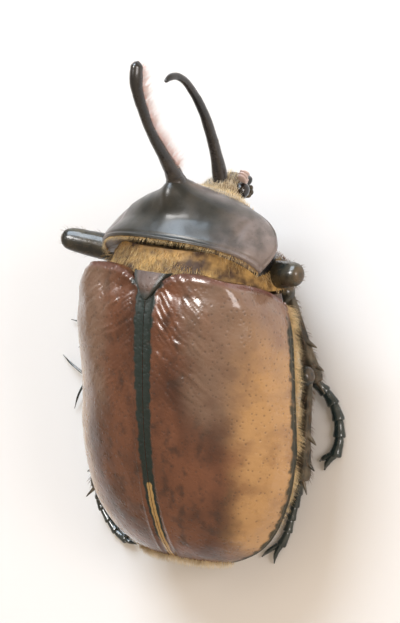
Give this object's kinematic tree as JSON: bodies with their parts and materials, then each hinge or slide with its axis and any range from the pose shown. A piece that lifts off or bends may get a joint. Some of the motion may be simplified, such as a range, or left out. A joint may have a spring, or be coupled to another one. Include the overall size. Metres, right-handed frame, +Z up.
{
  "type": "golofa beetle",
  "caption": "Life-size still model of a horned male golofa beetle: black body with two long horns, glossy mahogany wing cases, legs set on the floor.",
  "frame": {"origin": "centre of the bounding box on the floor that the feet stand on", "axes": "-Y towards the head, +Y towards the tail, +X to the beetle's left, +Z up"},
  "size_m": [0.0373, 0.049, 0.0277],
  "materials": {
    "black_chitin": "glossy black cuticle",
    "mahogany_chitin": "glossy mahogany cuticle",
    "belly_chitin": "satin dark brown cuticle",
    "haired_collar": "matte with short yellow hair",
    "eye": "glossy faceted",
    "red_brown_chitin": "satin red-brown cuticle"
  },
  "bodies": {
    "root": {"scutellum": "black_chitin", "elytron_left": "mahogany_chitin", "elytron_right": "mahogany_chitin", "metathorax": "belly_chitin", "abdomen": "belly_chitin", "pygidium": "belly_chitin", "mesothorax": "haired_collar", "pronotum": "black_chitin", "prosternum": "black_chitin", "thoracic_horn": "black_chitin", "head": "black_chitin", "head_horn": "black_chitin", "eye_left": "eye", "eye_right": "eye", "antenna_left": "red_brown_chitin", "antenna_right": "red_brown_chitin", "mandible_left": "black_chitin", "mandible_right": "black_chitin", "palp_left": "red_brown_chitin", "palp_right": "red_brown_chitin", "coxa_front_left": "black_chitin", "femur_front_left": "black_chitin", "tibia_front_left": "black_chitin", "tarsus_front_left": "black_chitin", "coxa_front_right": "black_chitin", "femur_front_right": "black_chitin", "tibia_front_right": "black_chitin", "tarsus_front_right": "black_chitin", "coxa_mid_left": "black_chitin", "femur_mid_left": "black_chitin", "tibia_mid_left": "black_chitin", "tarsus_mid_left": "black_chitin", "coxa_mid_right": "black_chitin", "femur_mid_right": "black_chitin", "tibia_mid_right": "black_chitin", "tarsus_mid_right": "black_chitin", "coxa_hind_left": "black_chitin", "femur_hind_left": "black_chitin", "tibia_hind_left": "black_chitin", "tarsus_hind_left": "black_chitin", "coxa_hind_right": "black_chitin", "femur_hind_right": "black_chitin", "tibia_hind_right": "black_chitin", "tarsus_hind_right": "black_chitin"}
  },
  "joints": []
}
